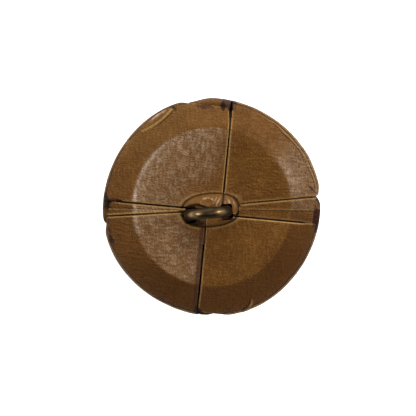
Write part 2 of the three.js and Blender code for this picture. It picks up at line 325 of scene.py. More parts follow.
# %% Wedge relief
WEDGE_SINK = 0.12
WEDGE_START = 4.3
BEAD_W = 0.34
BEAD_RISE = 0.16
CREASE_SHARE, CREASE_SHIFT = 0.42, 0.05
CREASE_DEPTH, CREASE_W = 0.1, 0.07
CREASE_LIP, CREASE_LIP_W = 0.07, 0.1
STEP_DOWN = 0.05


def ridge(distance, width):
    """1 on a line, fading on both sides over about `width` mm."""
    return np.exp(-((distance / width) ** 2))


def wedge_depth(quarter, a, c):
    """Depth of an under layer that shows beside a cut end. a and c are the under strip's own axes."""
    end = -end_line(quarter + 1, a)
    to_end = end - HALF_GAP * 0.6 - c
    shows = smooth(to_end, -0.06, 0.0)
    bead = BEAD_RISE * ridge(to_end - BEAD_W / 2, BEAD_W * 0.36)
    to_crease = c - (CREASE_SHARE * end + CREASE_SHIFT)
    level = smooth(to_crease, -STEP_DOWN, STEP_DOWN)
    crease = CREASE_DEPTH * ridge(to_crease + CREASE_W, CREASE_W)
    crease = crease - CREASE_LIP * ridge(to_crease - CREASE_LIP_W, CREASE_LIP_W)
    sunk = WEDGE_SINK + STEP_DOWN * (1 - level) + crease * smooth(a, 5.6, 7.0)
    return mix(INNER_DEPTH, sunk - bead, shows), shows, to_end, to_crease


print(f"the wedges' borders are {BEAD_W} mm wide and rise {BEAD_RISE} mm")

# %% [markdown]
# ## Rows and lanes of a strip
# Each strip is a grid of points: rows along it and lanes across it. Rows are placed by their angle round the
# button's section and not by their distance along the strip, so they stay evenly spaced where the leather
# turns down over the rim. A subdivided plane with modifiers would bunch up there. Rows and lanes crowd
# together near the cut edges, where the leather is rounded over.

# %% Lanes across a strip
EDGE_STEPS = [0, 0.03, 0.07, 0.12, 0.18, 0.26, 0.36, 0.48]
EDGE_ROUND = 0.34
FINE_LANES_END, LANES_END, STRIP_W = 6.0, 16.6, 17.1
FINE_LANE, COARSE_LANE = 0.125, 0.26


def spaced(start, stop, step):
    """Evenly spaced places after start, up to and with stop."""
    n = max(1, int(round(abs(stop - start) / step)))
    return list(np.linspace(start, stop, n + 1)[1:])


def lane_shares():
    """Where the lanes lie, as shares of the strip's width."""
    near = EDGE_STEPS + spaced(EDGE_STEPS[-1], FINE_LANES_END, FINE_LANE)
    near = near + spaced(FINE_LANES_END, LANES_END, COARSE_LANE)
    far = [STRIP_W - d for d in EDGE_STEPS[::-1]][1:]
    return np.array([d / STRIP_W for d in near + far])


print("lanes across a strip:", len(lane_shares()))

# %% [markdown]
# ## The grid of a strip
# A lane runs from the cut end on the back, over the rim, across the front and back up inside the button. The
# angle round the section is a quarter turn above the axis, a half turn at the first rim and a whole turn at
# the second. Seams lean and bend on the way, so the lanes are moved to them in a few rounds until rows and
# lanes agree.

# %% Strip grid
END_REACH = 6.6
INSIDE_RIM = 0.96
LEAST_ROOM = 0.2
END_ROW, CENTRE_ROW, FRONT_ROW = 0.13, 0.1, 0.35
CENTRE_FROM, CENTRE_TO = -1.6, 0.6
BEVEL_ROWS, SIDE_ROWS, HIDDEN_ROWS = 84, 56, 76
SETTLING_ROUNDS = 8


def strip_grid(spec):
    """Angles and places of a strip's points, as arrays of rows by lanes, and where its edges lie."""
    q = spec["quarter"]
    along, across = weave_axes(q)
    weave_a = WEAVE_X * along[0] + WEAVE_Y * along[1]
    weave_c = WEAVE_X * across[0] + WEAVE_Y * across[1]
    shares = lane_shares()[None, :]
    rim = math.pi

    def half_chord(c):
        return np.sqrt(BUTTON_R**2 - (c + weave_c) ** 2)

    def outer_angle(a, c):
        return math.pi / 2 + np.arcsin((-a - weave_a) / half_chord(c))

    def front_angle(a, c):
        return 1.5 * math.pi + np.arcsin((a + weave_a) / half_chord(c))

    def inner_angle(a, c):
        return 2.5 * math.pi - np.arcsin((a + weave_a) / half_chord(c))

    def from_end(d, c):
        """Place along the strip at d from its cut end, closer where the lane soon meets the rim."""
        end = end_line(q, c) - HALF_GAP
        room = np.maximum(INSIDE_RIM * half_chord(c) + end + weave_a, LEAST_ROOM)
        return end - d * np.minimum(1, room / END_REACH)

    def on_front(a, c):
        room = INSIDE_RIM * half_chord(c) - abs(weave_a)
        return a * np.minimum(1, room / CENTRE_REACH)

    def at_inner_end(c):
        return np.minimum(spec["inner_end"], INSIDE_RIM * half_chord(c) - weave_a)

    def seam_at(psi, a):
        """Where the strip's seam edge lies, across the strip."""
        deg = np.degrees(psi)
        towards_rim = np.abs(np.cos(psi))
        near_rim = smooth(towards_rim, 0.8, 0.97)
        tight = RIM_CLOSING[q % 2] * smooth(towards_rim, 0.84, 0.9)
        outer = spec["seam"] + HALF_GAP - (RIM_TUCK * smooth(deg, 165, 180) if q % 2 else 0)
        outer = outer - (HUMP_CLOSING * smooth(a, *HUMP_SEAM_ENDS[q]) if q % 2 else 0)
        rim_seam = spec["seam"] + HALF_GAP - (RIM_TUCK if q % 2 else 0)
        inner_seam = spec["inner_seam"] + HALF_GAP
        dipped = mix(HALF_GAP, DIP_RUN + SEAM_GAP, smooth(a, -DIP_RUN - HALF_GAP, -HALF_GAP))
        before = mix(dipped, rim_seam, near_rim)
        after = mix(dipped, inner_seam, near_rim)
        front = np.where(deg <= 270, before, after)
        return np.where(deg <= 180, outer, np.where(deg <= 360, front, inner_seam)) - tight

    def edge_at(psi):
        """Where the strip's other long edge lies, across the strip."""
        over_front = (psi > math.pi) & (psi < 2 * math.pi)
        share = np.where(over_front, np.cos(psi) ** 2, 1.0)
        return mix(FRONT_EDGE, spec["far"], share) - weave_c

    rows = []
    for d in EDGE_STEPS + spaced(EDGE_STEPS[-1], END_REACH, END_ROW):
        rows.append(lambda c, d=d: outer_angle(from_end(d, c), c))
    for t in spaced(0, 1, 1 / BEVEL_ROWS):
        rows.append(lambda c, t=t: mix(outer_angle(from_end(END_REACH, c), c), rim, t))
    for t in spaced(0, 1, 1 / SIDE_ROWS):
        rows.append(lambda c, t=t: mix(rim, front_angle(on_front(-CENTRE_REACH, c), c), t))
    front_places = spaced(-CENTRE_REACH, CENTRE_FROM, FRONT_ROW)
    front_places += spaced(CENTRE_FROM, CENTRE_TO, CENTRE_ROW)
    front_places += spaced(CENTRE_TO, CENTRE_REACH, FRONT_ROW)
    for a in front_places:
        rows.append(lambda c, a=a: front_angle(on_front(a, c), c))
    for t in spaced(0, 1, 1 / SIDE_ROWS):
        rows.append(lambda c, t=t: mix(front_angle(on_front(CENTRE_REACH, c), c), 2 * rim, t))
    for t in spaced(0, 1, 1 / HIDDEN_ROWS):
        rows.append(lambda c, t=t: mix(2 * rim, inner_angle(at_inner_end(c), c), t))

    psi = np.vstack([row(np.full(shares.shape, spec["seam"])) for row in rows])
    c = np.full(psi.shape, spec["seam"]) + 0 * shares
    for _ in range(SETTLING_ROUNDS):
        a = half_chord(c) * np.cos(psi) - weave_a
        c = mix(seam_at(psi, a), edge_at(psi), shares)
        psi = np.vstack([row(c[i : i + 1]) for i, row in enumerate(rows)])
    a = half_chord(c) * np.cos(psi) - weave_a
    return {"psi": psi, "a": a, "c": c, "seam": seam_at(psi, a), "edge": edge_at(psi), "q": q,
            "along": along, "across": across, "weave_a": weave_a, "cover_edge": STRIPS[(q + 1) % 4]["far"]}


print("rows along a strip:", len(strip_grid(STRIPS[0])["psi"]))

# %% [markdown]
# ## Relief on the raised leather
# Pulling the loop through left the leather raised and puckered: a round dimple, folds on both sides of the
# upper seam and an almond-shaped fold above the left half of the loop. They could be sculpted by hand. Soft
# spots and short waves give the same forms, and each stays a line that can be changed.

# %% Pucker, almond and wrinkles
ALMOND_X, ALMOND_HALF, ALMOND_RISE = -3.0, 2.25, 0.78
DIMPLE_X, DIMPLE_Y = -0.72, 0.86
DIMPLE_A, DIMPLE_B = 1.05, 0.72
PUCKER_R = 6


def rounding(distance, radius):
    """How far a rounded edge has dropped at a distance from the cut."""
    t = clamp01(1 - distance / radius)
    return radius * (1 - np.sqrt(1 - t * t))


def spot(dx, dy, half_x, half_y):
    """1 in the middle of a soft oval spot, fading outwards."""
    return np.exp(-((dx / half_x) ** 2) - (dy / half_y) ** 2)


def dimple_reach(x, y):
    """0 in the middle of the dimple, 1 on its rim."""
    return np.hypot((x - DIMPLE_X) / DIMPLE_A, (y - DIMPLE_Y) / DIMPLE_B)


def pucker(x, y):
    """The dimple and the folds left and right of the upper seam. Positive is deeper."""
    r = dimple_reach(x, y)
    ring = 0.26 * ridge(r, 0.6) - 0.2 * ridge(r - 1.0, 0.25)
    fold = 0.15 * np.sin(5.2 * (x - 0.5 * y)) * spot(x - 1.1, y - 0.8, 0.8, 0.8)
    lobe = 0.1 * np.sin(6.0 * (x + 0.2 * y)) * spot(x - 3.1, y - 0.2, 0.8, 0.9)
    return ring + fold + lobe


def almond_at(x, y):
    """1 inside the almond-shaped fold, where the flesh side of the leather shows."""
    t = (x - ALMOND_X) / ALMOND_HALF
    top = -0.02 + ALMOND_RISE * np.maximum(0, 1 - t * t)
    return smooth(top - y, -0.05, 0.12) * smooth(y, -1.6, -1.3) * (np.abs(t) < 1)


def wrinkle_lines(x, y):
    """Fine pale stretch lines round the dimple, beside the seam and on the right lobe; they also carry
    painted sheen and painted highlights.
    """
    dimple = ridge(dimple_reach(x, y) - 1.0, 0.14) * smooth(y - 0.35 * x, 0.7, 1.3)
    wave = x - 0.45 * y + 0.12 * np.sin(3.1 * y)
    beside = smooth(np.sin(9.5 * wave), 0.35, 0.95) * spot(x - 1.0, y - 0.75, 0.75, 0.7)
    lobe_wave = np.sin(8.0 * (x + 0.25 * y) + 0.8)
    lobe = smooth(lobe_wave, 0.0, 0.9) * spot(x - 3.2, y - 0.3, 0.75, 0.75)
    patchy = np.zeros_like(x)
    near = np.hypot(x, y) < PUCKER_R
    patchy[near] = soft_noise(x[near], y[near], 2.1, 5.5)
    return clamp01(0.7 * dimple + beside + lobe) * clamp01(0.75 + 1.3 * patchy)


print(f"dimple {2 * DIMPLE_A:.1f} by {2 * DIMPLE_B:.1f} mm, almond fold {2 * ALMOND_HALF:.1f} mm long")

# %% [markdown]
# ## Flake, curl and rim creases
# Wear has lifted a long flake of the finish near the rim and curled up a small lip further round, and the
# leather is creased where it was rolled over the rim. Loose slivers of mesh could be added, but they would
# stand off the leather. Each mark is instead a bowed line that lifts or sinks the points near it.

# %% Marks near the rim
BLISTER_FROM, BLISTER_TO = (-10.9, 14.2), (-5.1, 17.7)
BLISTER_HALF, BLISTER_BOW = 0.85, 0.35
CURL_FROM, CURL_TO = (5.2, -16.5), (3.5, -18.4)
CURL_BOW = 0.45
CREASE_R, ROLL_R = 18.62, 18.86
SECOND_CREASE_R, SECOND_ROLL_R = 18.1, 18.32


def line_coordinates(x, y, start, stop, bow):
    """Share of the way from start to stop, and the distance from that bowed line in mm."""
    sx, sy = start
    length = math.dist(start, stop)
    ux, uy = (stop[0] - sx) / length, (stop[1] - sy) / length
    t = ((x - sx) * ux + (y - sy) * uy) / length
    across = -(x - sx) * uy + (y - sy) * ux
    return t, across - bow * 4 * t * (1 - t)


def blister_at(x, y):
    """Depth of the lifted flake near the rim, then its pale lip, its dark borders and its bright streak. The
    dark line below the lip is painted shadow and the streak is a painted highlight.
    """
    t, across = line_coordinates(x, y, BLISTER_FROM, BLISTER_TO, BLISTER_BOW)
    half = BLISTER_HALF * np.sin(np.pi * clamp01(t)) ** 0.7 + 1e-3
    within = (t > 0) & (t < 1)
    inside = np.where(within, clamp01(1 - (across / half) ** 2), 0)
    lip = np.where(within, ridge(across + half - 0.05, 0.13), 0)
    under_lip = ridge(across + half + 0.2, 0.08) * smooth(t, 0.2, 0.4) * smooth(t, 1.0, 0.9)
    at_rim = ridge(across - half + 0.1, 0.16) * smooth(t, 0.45, 0.6) * within
    streak = ridge(across - 0.15, 0.2) * smooth(t, 0.3, 0.5) * smooth(t, 0.9, 0.7)
    depth = -0.22 * inside - 0.1 * lip + 0.12 * under_lip
    return depth, lip, np.maximum(under_lip, at_rim), streak


def curl_at(x, y):
    """The line under a curled-up lip, sunk and darkened as painted shadow, and the lip's rounded edge."""
    t, across = line_coordinates(x, y, CURL_FROM, CURL_TO, CURL_BOW)
    within = smooth(t, -0.05, 0.1) * smooth(t, 1.1, 0.95)
    return within * ridge(across, 0.14), within * ridge(across - 0.32, 0.2)


def rim_crease(x, y):
    """A fine broken line inside the rim where the leather is rolled over, and the paler roll beside it."""
    r = np.hypot(x, y)
    wander = 0.14 * soft_noise(x, y, 0.45, 9.3)
    gaps = smooth(soft_noise(x, y, 0.5, 1.7), -0.6, -0.1)
    line = gaps * ridge(r - CREASE_R - wander, 0.08)
    roll = (0.2 + 0.6 * gaps) * ridge(r - ROLL_R - wander, 0.13)
    turn = np.degrees(np.arctan2(y, x))
    roll = roll * (1 - 0.7 * smooth(np.abs(turn - 135), 45, 30))
    second = smooth(turn, 0, 8) * smooth(turn, 62, 40)
    line = np.maximum(line, second * ridge(r - SECOND_CREASE_R - 2 * wander, 0.08))
    roll = np.maximum(roll, 0.8 * second * ridge(r - SECOND_ROLL_R - 2 * wander, 0.11))
    return line, roll


flake_length, curl_length = math.dist(BLISTER_FROM, BLISTER_TO), math.dist(CURL_FROM, CURL_TO)
print(f"flake {flake_length:.1f} mm long, curl {curl_length:.1f} mm long")

# %% [markdown]
# ## The depth of every point
# A point's depth adds up all that pressed or moved the leather there: the layer it lies in, its rounded
# edges, the wedges, a fine groove around the raised leather, the marks and the slow unevenness of hand-cut
# hide. One sum is easier to keep smooth than a stack of displace modifiers.

# %% Strip relief
FAR_OFF = 9.0
ANGLE_SLACK = 1e-9
GROOVE_DEPTH, GROOVE_W = 0.16, 0.11
HIDE_UNEVEN, FRONT_UNEVEN, HUMP_UNEVEN = 0.035, 0.05, 0.05
ALMOND_DEPTH = 0.55


def strip_relief(grid):
    """Depth of each point under the outer surface, and how near it is to edges, creases and marks."""
    q, psi, a, c = grid["q"], grid["psi"], grid["a"], grid["c"]
    rim = math.pi
    outer = psi <= rim + ANGLE_SLACK
    inner_end = psi >= 2 * rim - ANGLE_SLACK
    on_back = outer | inner_end
    x = WEAVE_X + a * grid["along"][0] + c * grid["across"][0]
    y = WEAVE_Y + a * grid["along"][1] + c * grid["across"][1]

    dive = INNER_DEPTH * smooth(a, -DIP_RUN - HALF_GAP, -HALF_GAP)
    from_middle = a + grid["weave_a"]
    out = smooth(from_middle, grid["cover_edge"] + 0.02, grid["cover_edge"] + 0.42)
    out = out * (1 - 0.4 * smooth(c, 2.0, 6.0))
    layer = np.where(outer, 0.0, np.where(psi > 1.5 * rim, INNER_DEPTH, dive) * (1 - out))

    to_seam = c - grid["seam"]
    to_far = grid["edge"] - c
    to_end = np.where(outer, end_line(q, c) - HALF_GAP - a, FAR_OFF)
    edge = np.minimum(np.minimum(to_seam, to_far), to_end)

    seam_round = EDGE_ROUND - 0.2 * smooth(np.abs(np.cos(psi)), 0.86, 0.94)
    deep = layer + rounding(to_seam, seam_round) + rounding(to_far, EDGE_ROUND) + rounding(to_end, EDGE_ROUND)
    shows = np.zeros_like(c)
    bead_at = np.full_like(c, FAR_OFF)
    crease_at = np.full_like(c, FAR_OFF)
    if q in (0, 2):
        sunk, shows, to_bead, to_crease = wedge_depth(q, np.maximum(a, WEDGE_START), c)
        rise = inner_end & (a > WEDGE_START)
        fade = smooth(from_middle, BUTTON_R - 0.2, BUTTON_R - 1.2)
        risen = np.minimum(deep, sunk + rounding(to_seam, EDGE_ROUND))
        deep = np.where(rise, mix(deep, risen, fade), deep)
        shows = np.where(rise, shows * fade, 0.0)
        bead_at = np.where(rise, np.abs(to_bead - BEAD_W / 2), FAR_OFF)
        crease_at = np.where(rise, to_crease, FAR_OFF)

    reach = hump_reach(x, y)
    groove_at = (reach - 1) * HUMP_B
    on_hump = outer & (reach < 1)
    groove = GROOVE_DEPTH * ridge(groove_at, GROOVE_W)
    deep = deep + np.where(outer, groove, 0) + np.where(on_hump, pucker(x, y), 0)
    unevenness = soft_noise(x, y, 0.35, 3.1 + q)
    deep = deep + np.where(on_back, HIDE_UNEVEN * unevenness, FRONT_UNEVEN * (1 + unevenness))
    deep = deep + np.where(on_hump, HUMP_UNEVEN * soft_noise(x, y, 1.5, 8.2), 0)
    lifted, blister_lip, blister_dark, blister_streak = blister_at(x, y)
    curl_line, curl_roll = curl_at(x, y)
    rim_line, rim_roll = rim_crease(x, y)
    almond = almond_at(x, y) * outer
    marks = ALMOND_DEPTH * almond + lifted + 0.14 * curl_line - 0.12 * curl_roll
    marks = marks + 0.1 * rim_line - 0.05 * rim_roll
    deep = deep + np.where(outer, marks, 0)
    return {"x": x, "y": y, "on_back": on_back, "outer": outer, "layer": layer, "deep": deep, "edge": edge,
            "to_seam": to_seam, "to_end": to_end, "shows": shows, "bead_at": bead_at,
            "crease_at": crease_at, "groove_at": groove_at, "on_hump": on_hump,
            "marks_pale": np.maximum(np.maximum(blister_lip, curl_roll), rim_roll * 0.8),
            "marks_dark": np.maximum(np.maximum(curl_line, rim_line), blister_dark),
            "blister_streak": blister_streak, "almond": almond,
            "wrinkles": wrinkle_lines(x, y) * on_hump}


print(f"the groove around the raised leather is {GROOVE_DEPTH} mm deep")

# %% [markdown]
# ## Slots for the loop
# The two legs of the wire come up through slots in the leather. A boolean cut would leave ragged triangles in
# such fine leather. Here the cells of the grid inside a slot are left out and the cut is closed with walls,
# after the nearest points are nudged onto the slot's outline so that it stays smooth.

# %% Slots
LEG_X = LOOP_W / 2 - WIRE_D / 2
SLOT_HALF_X = 1.02
SLOT_ROUND = 0.45
SLOT_REACH = {-1: (1.5, 1.6), 1: (1.3, 1.6)}
PROBE = 0.02
LEAST_SLOPE = 0.3


def slot_distance(x, y):
    """Below 0 inside a slot: a rounded box round each leg."""
    best = np.full_like(x, FAR_OFF)
    for side, (above, below) in SLOT_REACH.items():
        dx = np.abs(x - LOOP_X - side * LEG_X) - (SLOT_HALF_X - SLOT_ROUND)
        middle = LOOP_Y + (above - below) / 2
        dy = np.abs(y - middle) - ((above + below) / 2 - SLOT_ROUND)
        outside = np.hypot(np.maximum(dx, 0), np.maximum(dy, 0))
        best = np.minimum(best, outside + np.minimum(np.maximum(dx, dy), 0) - SLOT_ROUND)
    return best


def slot_nudge(x, y, cell):
    """Move points that are nearer than a cell to a slot's outline onto it."""
    f = slot_distance(x, y)
    gx = (slot_distance(x + PROBE, y) - slot_distance(x - PROBE, y)) / (2 * PROBE)
    gy = (slot_distance(x, y + PROBE) - slot_distance(x, y - PROBE)) / (2 * PROBE)
    slope = np.maximum(np.hypot(gx, gy), LEAST_SLOPE)
    near = np.abs(f) < cell
    return np.where(near, x - f * gx / slope**2, x), np.where(near, y - f * gy / slope**2, y)


print("slots:", [f"{2 * SLOT_HALF_X:.2f} x {sum(reach):.1f} mm" for reach in SLOT_REACH.values()])

# %% [markdown]
# ## Stains
# Dye and grime have gathered at the rim and beside the loop, and a dark patch under the left half of the loop
# is painted shadow of the loop. An image could be painted for them, but a stain here is only an oval with a
# ragged edge: where it is, its two half widths, its turn in degrees and whether it is dyed leather or dirt
# and shade. The numbers are in millimetres on the button's back.

# %% Stains
STAINS = [
    {"at": (0.2, 17.6), "size": (1.5, 0.42), "turn": -10, "tone": "dyed"},
    {"at": (4.6, 17.7), "size": (1.35, 1.15), "turn": -60, "tone": "dyed"},
    {"at": (3.6, 17.3), "size": (0.5, 0.9), "turn": -5, "tone": "dirt_and_shade"},
    {"at": (-18.5, 2.75), "size": (0.75, 1.5), "turn": 0, "tone": "dirt_and_shade"},
    {"at": (-17.0, 2.75), "size": (1.3, 0.35), "turn": -10, "tone": "dyed"},
    {"at": (18.2, -4.2), "size": (0.75, 2.0), "turn": -12, "tone": "dyed"},
    {"at": (-4.05, -18.1), "size": (0.7, 0.9), "turn": 20, "tone": "dirt_and_shade"},
    {"at": (-17.9, -4.0), "size": (0.35, 0.9), "turn": 12, "tone": "dirt_and_shade"},
    {"at": (17.7, 1.4), "size": (1.0, 0.16), "turn": -50, "tone": "dirt_and_shade"},
    {"at": (-5.1, 17.9), "size": (0.35, 0.8), "turn": 40, "tone": "dirt_and_shade"},
    # painted shadow of the loop on the leather under its left half
    {"at": (-2.9, -2.45), "size": (1.5, 0.6), "turn": -14, "tone": "dirt_and_shade"},
    {"at": (1.9, -2.35), "size": (1.3, 0.25), "turn": 14, "tone": "dyed"},
    {"at": (-18.3, 0.9), "size": (0.2, 0.55), "turn": 3, "tone": "dyed"},
    {"at": (-18.2, -0.7), "size": (0.2, 0.6), "turn": 3, "tone": "dyed"},
    {"at": (-18.05, -2.3), "size": (0.22, 0.7), "turn": 6, "tone": "dyed"},
]
PALE_LIP = {"at": (-4.95, -0.75), "size": (0.18, 0.7), "turn": -8}
STAIN_LIMIT = 2.5


def stain_at(stain, x, y):
    """1 inside a stain with a ragged edge, 0 outside."""
    dx, dy = x - stain["at"][0], y - stain["at"][1]
    turn = math.radians(stain["turn"])
    along = (dx * math.cos(turn) + dy * math.sin(turn)) / stain["size"][0]
    across = (-dx * math.sin(turn) + dy * math.cos(turn)) / stain["size"][1]
    far = np.hypot(along, across)
    near = far < STAIN_LIMIT
    ragged = np.zeros_like(x)
    ragged[near] = soft_noise(x[near], y[near], 2.4, 6.6)
    return smooth(far + 0.45 * ragged, 1.15, 0.8)


print("stains:", len(STAINS))

# %% [markdown]
# ## Where the leather shines
# The die and years of handling left the finish smooth on the left half of the back and on the right bevel,
# so the roughness is lowered there. The colour there is also made paler as painted sheen, and painted
# highlights run along the crest and over the right bevel. Both are kept as masks on the points that the
# material turns into colour and roughness.

# %% Gloss, painted sheen and painted highlights
UPRIGHT_TURN = 5.3
FIRST_TURN = 60
STRIP_LEFT = 3


def upright_polar(x, y):
    """Distance from the axis, and angle in -60..300 degrees with the upper seam nearly upright."""
    turn = np.degrees(np.arctan2(y, x)) + UPRIGHT_TURN
    return np.hypot(x, y), (turn + FIRST_TURN) % 360 - FIRST_TURN


def gloss_and_sheen_masks(grid, relief):
    """Where the finish is smooth and gets painted sheen, and where painted highlights lie beside the crest
    and on the right bevel.
    """
    q = grid["q"]
    r, turn = upright_polar(relief["x"], relief["y"])
    inside = smooth(r, CREST_R + 0.1, CREST_R - 0.15)
    seen = relief["outer"] | (relief["shows"] > 0.5)
    left = (0.6 * smooth(r, 2.0, 8.0) + 0.4 * smooth(r, 8.0, 13.5)) * smooth(turn, 66, 98)
    if q == STRIP_LEFT:
        left = 0.62 * smooth(r, 4.0, 8.0) * smooth(turn, 282, 250)
    elif q != 0:
        left = left * (turn < 205)
    left = left * inside * seen
    right = (1 - inside) * smooth(turn, -9, 6) * (0.08 + 0.5 * smooth(turn, 52, 26)) * smooth(turn, 80, 60)
    broken = 0.72 + 0.5 * soft_noise(relief["x"], relief["y"], 0.9, 2.2)
    # painted highlights: a bright band just inside the crest on the left, and a glow over the right bevel
    crest = ridge(r - CREST_R + 0.3, 0.35) * smooth(turn, 112, 150) * smooth(turn, 205, 188)
    glow = smooth(r, CREST_R - 0.1, CREST_R + 0.4) * smooth(r, 17.6, 14.5)
    glow = glow * smooth(turn, -2, 10) * smooth(turn, 44, 24)
    bright = np.maximum(crest, 0.25 * glow)
    return clamp01(np.maximum(left, right) * broken), clamp01(bright * broken * seen)


print(f"polish is strongest inside r = {CREST_R} mm, turned {UPRIGHT_TURN} degrees")

# %% [markdown]
# ## Tones of the leather
# Cut edges are pale with wear, grooves and seams are darkened, and some leather is dyed or dirty. Light and
# shade are painted in too: shade on the lower bevel and under lips and creases, a little light on the
# upper-left bevel, and sheen and highlights where the leather should shine. Each of these is a mask from 0 to
# 1 on the points. Separate materials could be given to separate faces, but masks blend without a seam and let
# one material serve all four strips.

# %% Wear, dye, dirt, and painted light and shade
TONES = ("wear_and_light", "pressed", "dyed", "dirt_and_shade", "polish_and_sheen", "lower_bevel_shade", "painted_highlight")
HUMP_PRESSED, BACK_PRESSED, FRONT_PRESSED = 0.25, 1.0, 0.6
# middles, in degrees, of the painted shade on the lower bevel and of the painted light on the upper-left
# bevel
SHADE_MIDDLE, LIT_MIDDLE = 285, 112


def strengthen(tones, key, mask):
    tones[key] = np.maximum(tones[key], mask)


def weaken(tones, key, mask):
    tones[key] = tones[key] * (1 - mask)


def edge_tones(tones, relief):
    """Pale wear on cut edges, beads and the groove's banks, darkening in the groove round the raised leather,
    and painted shadow below the wedges' creases.
    """
    outer = relief["outer"]
    in_wedge = relief["shows"] > 0.5
    from_edge = np.maximum(np.maximum(relief["edge"], 0) - 0.05, 0)
    strengthen(tones, "wear_and_light", ridge(from_edge, 0.16) * (outer | in_wedge))
    strengthen(tones, "wear_and_light", 0.95 * ridge(relief["bead_at"], 0.13) * in_wedge)
    strengthen(tones, "wear_and_light", 0.6 * (ridge(relief["crease_at"] - 0.11, 0.09) * in_wedge))
    strengthen(tones, "wear_and_light", 0.45 * (ridge(relief["groove_at"] - 0.28, 0.16) * outer))
    strengthen(tones, "dirt_and_shade", ridge(relief["groove_at"], 0.13) * outer)
    # painted shadow below the crease in a wedge
    strengthen(tones, "dirt_and_shade", 0.8 * (ridge(relief["crease_at"] + 0.06, 0.07) * in_wedge))


def mark_tones(tones, relief):
    """The marks near the rim with the painted shadow under their lips, the pale lip by the loop, and all the
    stains, one of which is painted shadow of the loop.
    """
    x, y, outer = relief["x"], relief["y"], relief["outer"]
    strengthen(tones, "wear_and_light", 0.8 * relief["marks_pale"] * outer)
    # the dark lines under the flake's and the curl's lips are painted shadow
    strengthen(tones, "dirt_and_shade", 0.85 * relief["marks_dark"] * outer)
    strengthen(tones, "wear_and_light", 0.7 * stain_at(PALE_LIP, x, y) * outer)
    for stain in STAINS:
        mark = stain_at(stain, x, y) * relief["on_back"]
        strengthen(tones, stain["tone"], mark if stain["tone"] == "dyed" else 0.85 * mark)
        weaken(tones, "wear_and_light", mark)


def hump_tones(tones, relief, q):
    """Darker leather beside the seam on the raised patch, and the flesh side in the almond fold."""
    from_seam = np.where(q == 0, relief["to_end"], np.where(q == 1, relief["to_seam"], FAR_OFF))
    strengthen(tones, "dyed", 0.8 * smooth(from_seam, 0.4, 0.1) * relief["on_hump"])
    weaken(tones, "wear_and_light", 0.9 * smooth(from_seam, 0.5, 0.2) * relief["on_hump"])
    strengthen(tones, "dyed", 0.75 * relief["almond"])


def bevel_tones(tones, relief):
    """Painted shade on the lower bevel, a little painted light on the upper-left bevel, and darkening at the
    rim's very edge and in the seams near it.
    """
    r, turn = upright_polar(relief["x"], relief["y"])
    beyond_crest = smooth(r, 13.75, 14.1) * relief["on_back"]
    from_shade_middle = np.abs((turn - SHADE_MIDDLE + 180) % 360 - 180)
    # painted shade: the bevel is darkened towards the bottom, away from the light
    strengthen(tones, "lower_bevel_shade", beyond_crest * smooth(from_shade_middle, 110, 35))
    # painted light: the bevel is made a little paler towards the upper left
    strengthen(tones, "wear_and_light", 0.07 * beyond_crest * smooth(np.abs(turn - LIT_MIDDLE), 50, 25))
    strengthen(tones, "wear_and_light", 0.09 * relief["on_hump"])
    strengthen(tones, "dirt_and_shade", 0.6 * smooth(r, 18.86, 19.02) * relief["on_back"])
    in_seam = smooth(relief["to_seam"], 0.14, 0.02) * smooth(r, 15.5, 17.0)
    strengthen(tones, "dirt_and_shade", in_seam * relief["on_back"])


def tone_masks(grid, relief):
    """Masks for each point: wear and painted light, pressing, dye, dirt and painted shadow, gloss with
    painted sheen, the lower bevel's painted shade and painted highlights.
    """
    q, outer = grid["q"], relief["outer"]
    tones = {key: np.zeros_like(relief["x"]) for key in TONES}
    back_pressed = np.where(relief["on_back"], BACK_PRESSED, FRONT_PRESSED)
    tones["pressed"] = np.where(relief["on_hump"], HUMP_PRESSED, back_pressed)
    edge_tones(tones, relief)
    if q == STRIP_LEFT:
        band = smooth(relief["to_seam"], 0.95, 0.45) * outer
        strengthen(tones, "dyed", band * (0.75 + 0.25 * soft_noise(relief["x"], relief["y"], 1.3, 4.4)))
        weaken(tones, "wear_and_light", 0.9 * band)
    mark_tones(tones, relief)
    hump_tones(tones, relief, q)
    bevel_tones(tones, relief)
    # gloss with painted sheen, and painted highlights along the crest and on the right bevel
    tones["polish_and_sheen"], tones["painted_highlight"] = gloss_and_sheen_masks(grid, relief)
    # painted highlight: the flake's bright streak
    strengthen(tones, "painted_highlight", 0.9 * relief["blister_streak"] * outer)
    # the wrinkles also get painted sheen and painted highlights
    strengthen(tones, "polish_and_sheen", relief["wrinkles"])
    strengthen(tones, "painted_highlight", relief["wrinkles"])
    strengthen(tones, "wear_and_light", 0.35 * relief["wrinkles"])
    return tones


print("masks kept on the leather's points:", ", ".join(TONES))

# %% [markdown]
# ## Skins, walls and the finished strip
# A strip is two skins of the same grid, the grain side and the flesh side, joined by walls wherever a kept
# cell borders a missing one, so that it is one closed piece. A solidify modifier could thicken one skin, but
# it can't follow a thickness that changes where the leather is pinched.

# %% Build the strips
NEAR_LOOP = 6
NUDGE_CELL = 0.075
SLOT_MARGIN = 0.012
LEAST_LEATHER = 0.15
UNDER_ROUND = 0.3
HIDE_SHIFT = 31.0


def strip_faces(keep, rows, lanes):
    """Faces of both skins and the walls between them, for the grid cells that are kept."""
    base = rows * lanes
    number = np.arange(base).reshape(rows, lanes)
    i, j = np.nonzero(keep)
    tops = np.stack([number[i, j], number[i, j + 1], number[i + 1, j + 1], number[i + 1, j]], 1)
    lows = np.stack([number[i, j], number[i + 1, j], number[i + 1, j + 1], number[i, j + 1]], 1) + base
    faces = tops.tolist() + lows.tolist()
    for i in range(rows):
        for j in range(lanes - 1):
            above = keep[i - 1, j] if i > 0 else False
            below = keep[i, j] if i < rows - 1 else False
            if above != below:
                p, r = number[i, j], number[i, j + 1]
                faces.append((r, p, p + base, r + base) if below else (p, r, r + base, p + base))
    for i in range(rows - 1):
        for j in range(lanes):
            left = keep[i, j - 1] if j > 0 else False
            right = keep[i, j] if j < lanes - 1 else False
            if left != right:
                p, r = number[i, j], number[i + 1, j]
                faces.append((p, r, r + base, p + base) if right else (r, p, p + base, r + base))
    return faces


